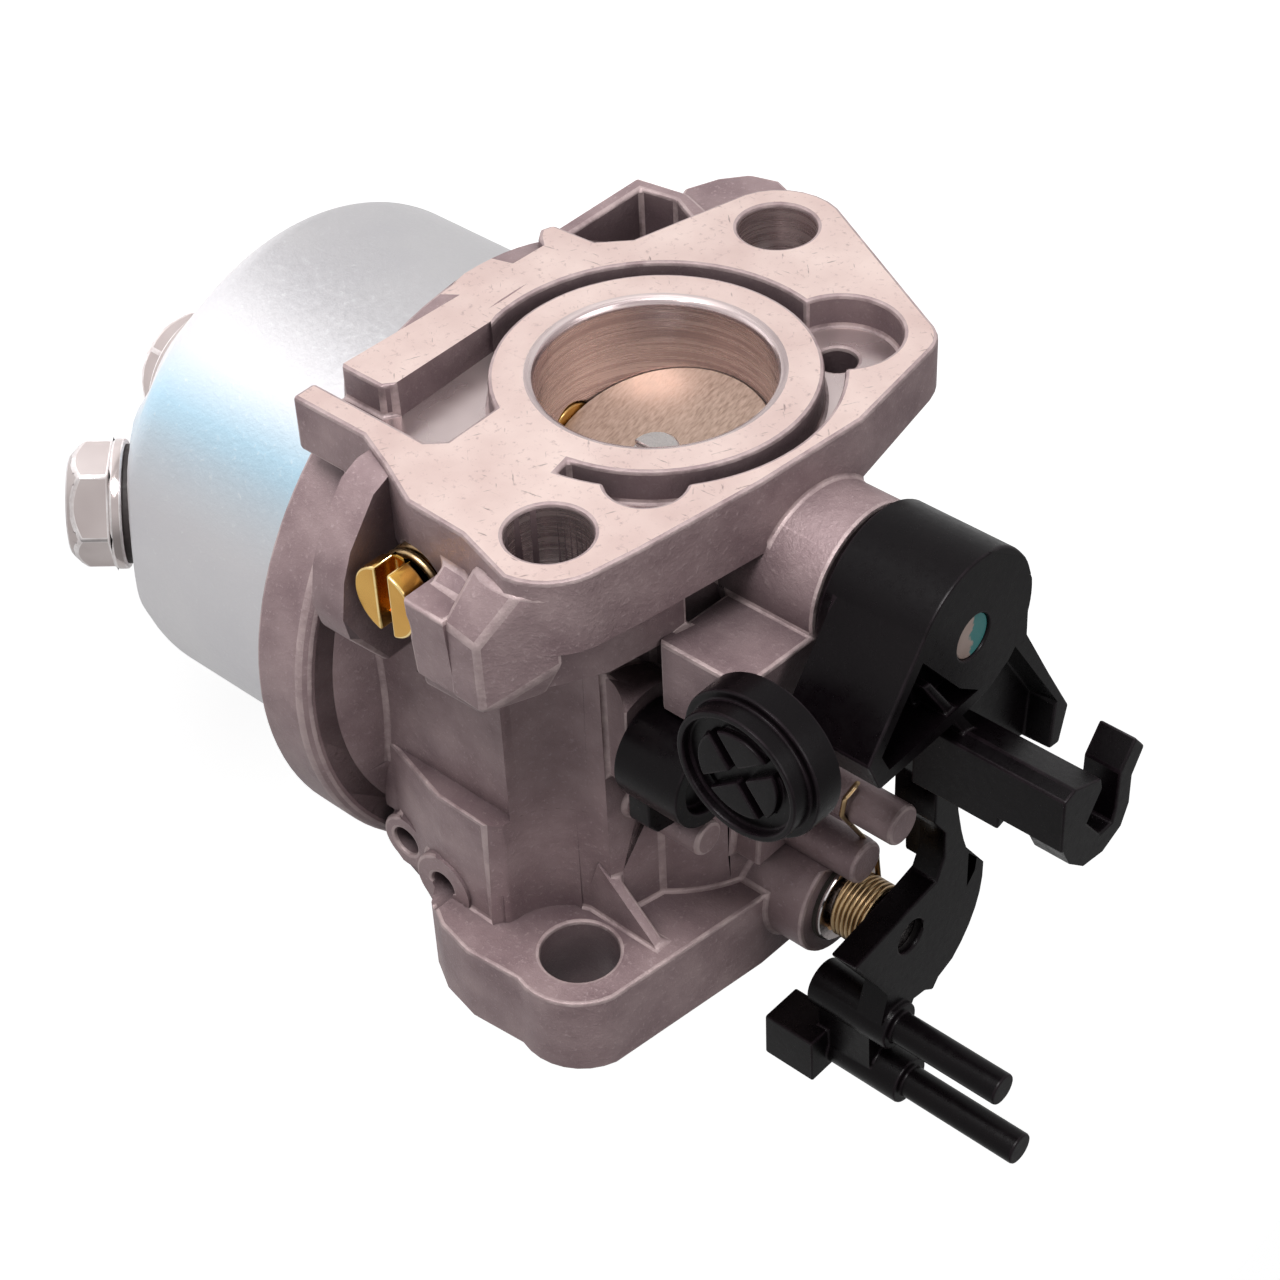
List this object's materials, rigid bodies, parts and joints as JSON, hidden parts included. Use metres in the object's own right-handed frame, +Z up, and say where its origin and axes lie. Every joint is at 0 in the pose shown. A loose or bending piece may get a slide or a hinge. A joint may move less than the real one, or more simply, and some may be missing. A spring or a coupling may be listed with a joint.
{
  "type": "float-bowl carburetor",
  "caption": "Small engine carburetor with a throttle and choke on plastic levers, two flanges, a plated float bowl with a drain bolt, and mixture and idle screws.",
  "frame": {"origin": "on the axis of the bore, in the plane of the machined engine flange", "axes": "+Y along the bore from the engine flange to the air cleaner flange, +Z up along the throttle and choke shafts to the levers, with the bowl on -Z, +X to the side with the mixture and idle screws"},
  "size_m": [0.069, 0.066, 0.1052],
  "materials": {
    "cast_alloy": "die-cast, flange faces milled",
    "plated_steel": "zinc plated, smooth",
    "bright_steel": "ground bright",
    "brass": "turned, slightly dull",
    "rubber": "moulded, matt",
    "fibre": "pressed fibre, matt",
    "float_plastic": "moulded, matt",
    "black_plastic": "glass-filled moulding, soft sheen",
    "spring_wire": "drawn wire with a golden passivation",
    "felt": "oiled felt"
  },
  "bodies": {
    "carburetor": {"carburetor_body": "cast_alloy", "float_bowl": "plated_steel", "bowl_gasket": "rubber", "bowl_bolt": "plated_steel", "bowl_bolt_washer": "fibre", "drain_bolt": "plated_steel", "drain_bolt_washer": "fibre", "float_hinge_pin": "bright_steel", "needle_seat": "brass", "fuel_inlet_pipe": "brass", "main_nozzle": "brass", "main_jet": "brass", "pilot_jet_cap": "black_plastic", "pilot_jet": "brass", "pilot_jet_oring": "rubber", "mixture_screw_spring": "spring_wire", "throttle_shaft_seal": "felt", "choke_spring": "spring_wire", "choke_spring_washer": "plated_steel", "choke_shaft_seal": "felt"},
    "throttle": {"throttle_shaft": "brass", "throttle_plate": "brass", "throttle_plate_screw": "plated_steel", "throttle_lever": "black_plastic"},
    "choke": {"choke_shaft": "bright_steel", "choke_plate": "bright_steel", "choke_plate_screws": "plated_steel", "choke_lever": "black_plastic"},
    "float": {"float": "float_plastic"},
    "needle": {"float_needle": "bright_steel"},
    "mixture_adjuster": {"mixture_screw": "brass"},
    "idle_adjuster": {"idle_stop_screw": "black_plastic"}
  },
  "joints": [
    {"name": "throttle_turn", "type": "hinge", "parent": "carburetor", "child": "throttle", "pos_m": [0, 0.01075, 0], "axis": [0, 0, 1], "range_deg": [0, 74]},
    {"name": "choke_turn", "type": "hinge", "parent": "carburetor", "child": "choke", "pos_m": [0, 0.0474, 0], "axis": [0, 0, 1], "range_deg": [-75, 0], "stiffness_Nm_per_rad": 0.004, "springref_deg": 34.38},
    {"name": "float_swing", "type": "hinge", "parent": "carburetor", "child": "float", "pos_m": [0, 0.0096, -0.0194], "axis": [1, 0, 0], "range_deg": [0, 8]},
    {"name": "needle_lift", "type": "slide", "parent": "carburetor", "child": "needle", "axis": [0, 0, 1], "range_m": [0, 0.0007]},
    {"name": "mixture_screw_turn", "type": "hinge", "parent": "carburetor", "child": "mixture_adjuster", "pos_m": [0, 0.0078, -0.0034], "axis": [1, 0, 0], "range_deg": [-360, 540]},
    {"name": "idle_screw_turn", "type": "hinge", "parent": "carburetor", "child": "idle_adjuster", "pos_m": [0, 0.015, 0.0248], "axis": [1, 0, 0], "range_deg": [-360, 360]}
  ],
  "couplings": [
    {"joint": "needle_lift", "follows": "float_swing", "m_per_rad": 0.005}
  ]
}
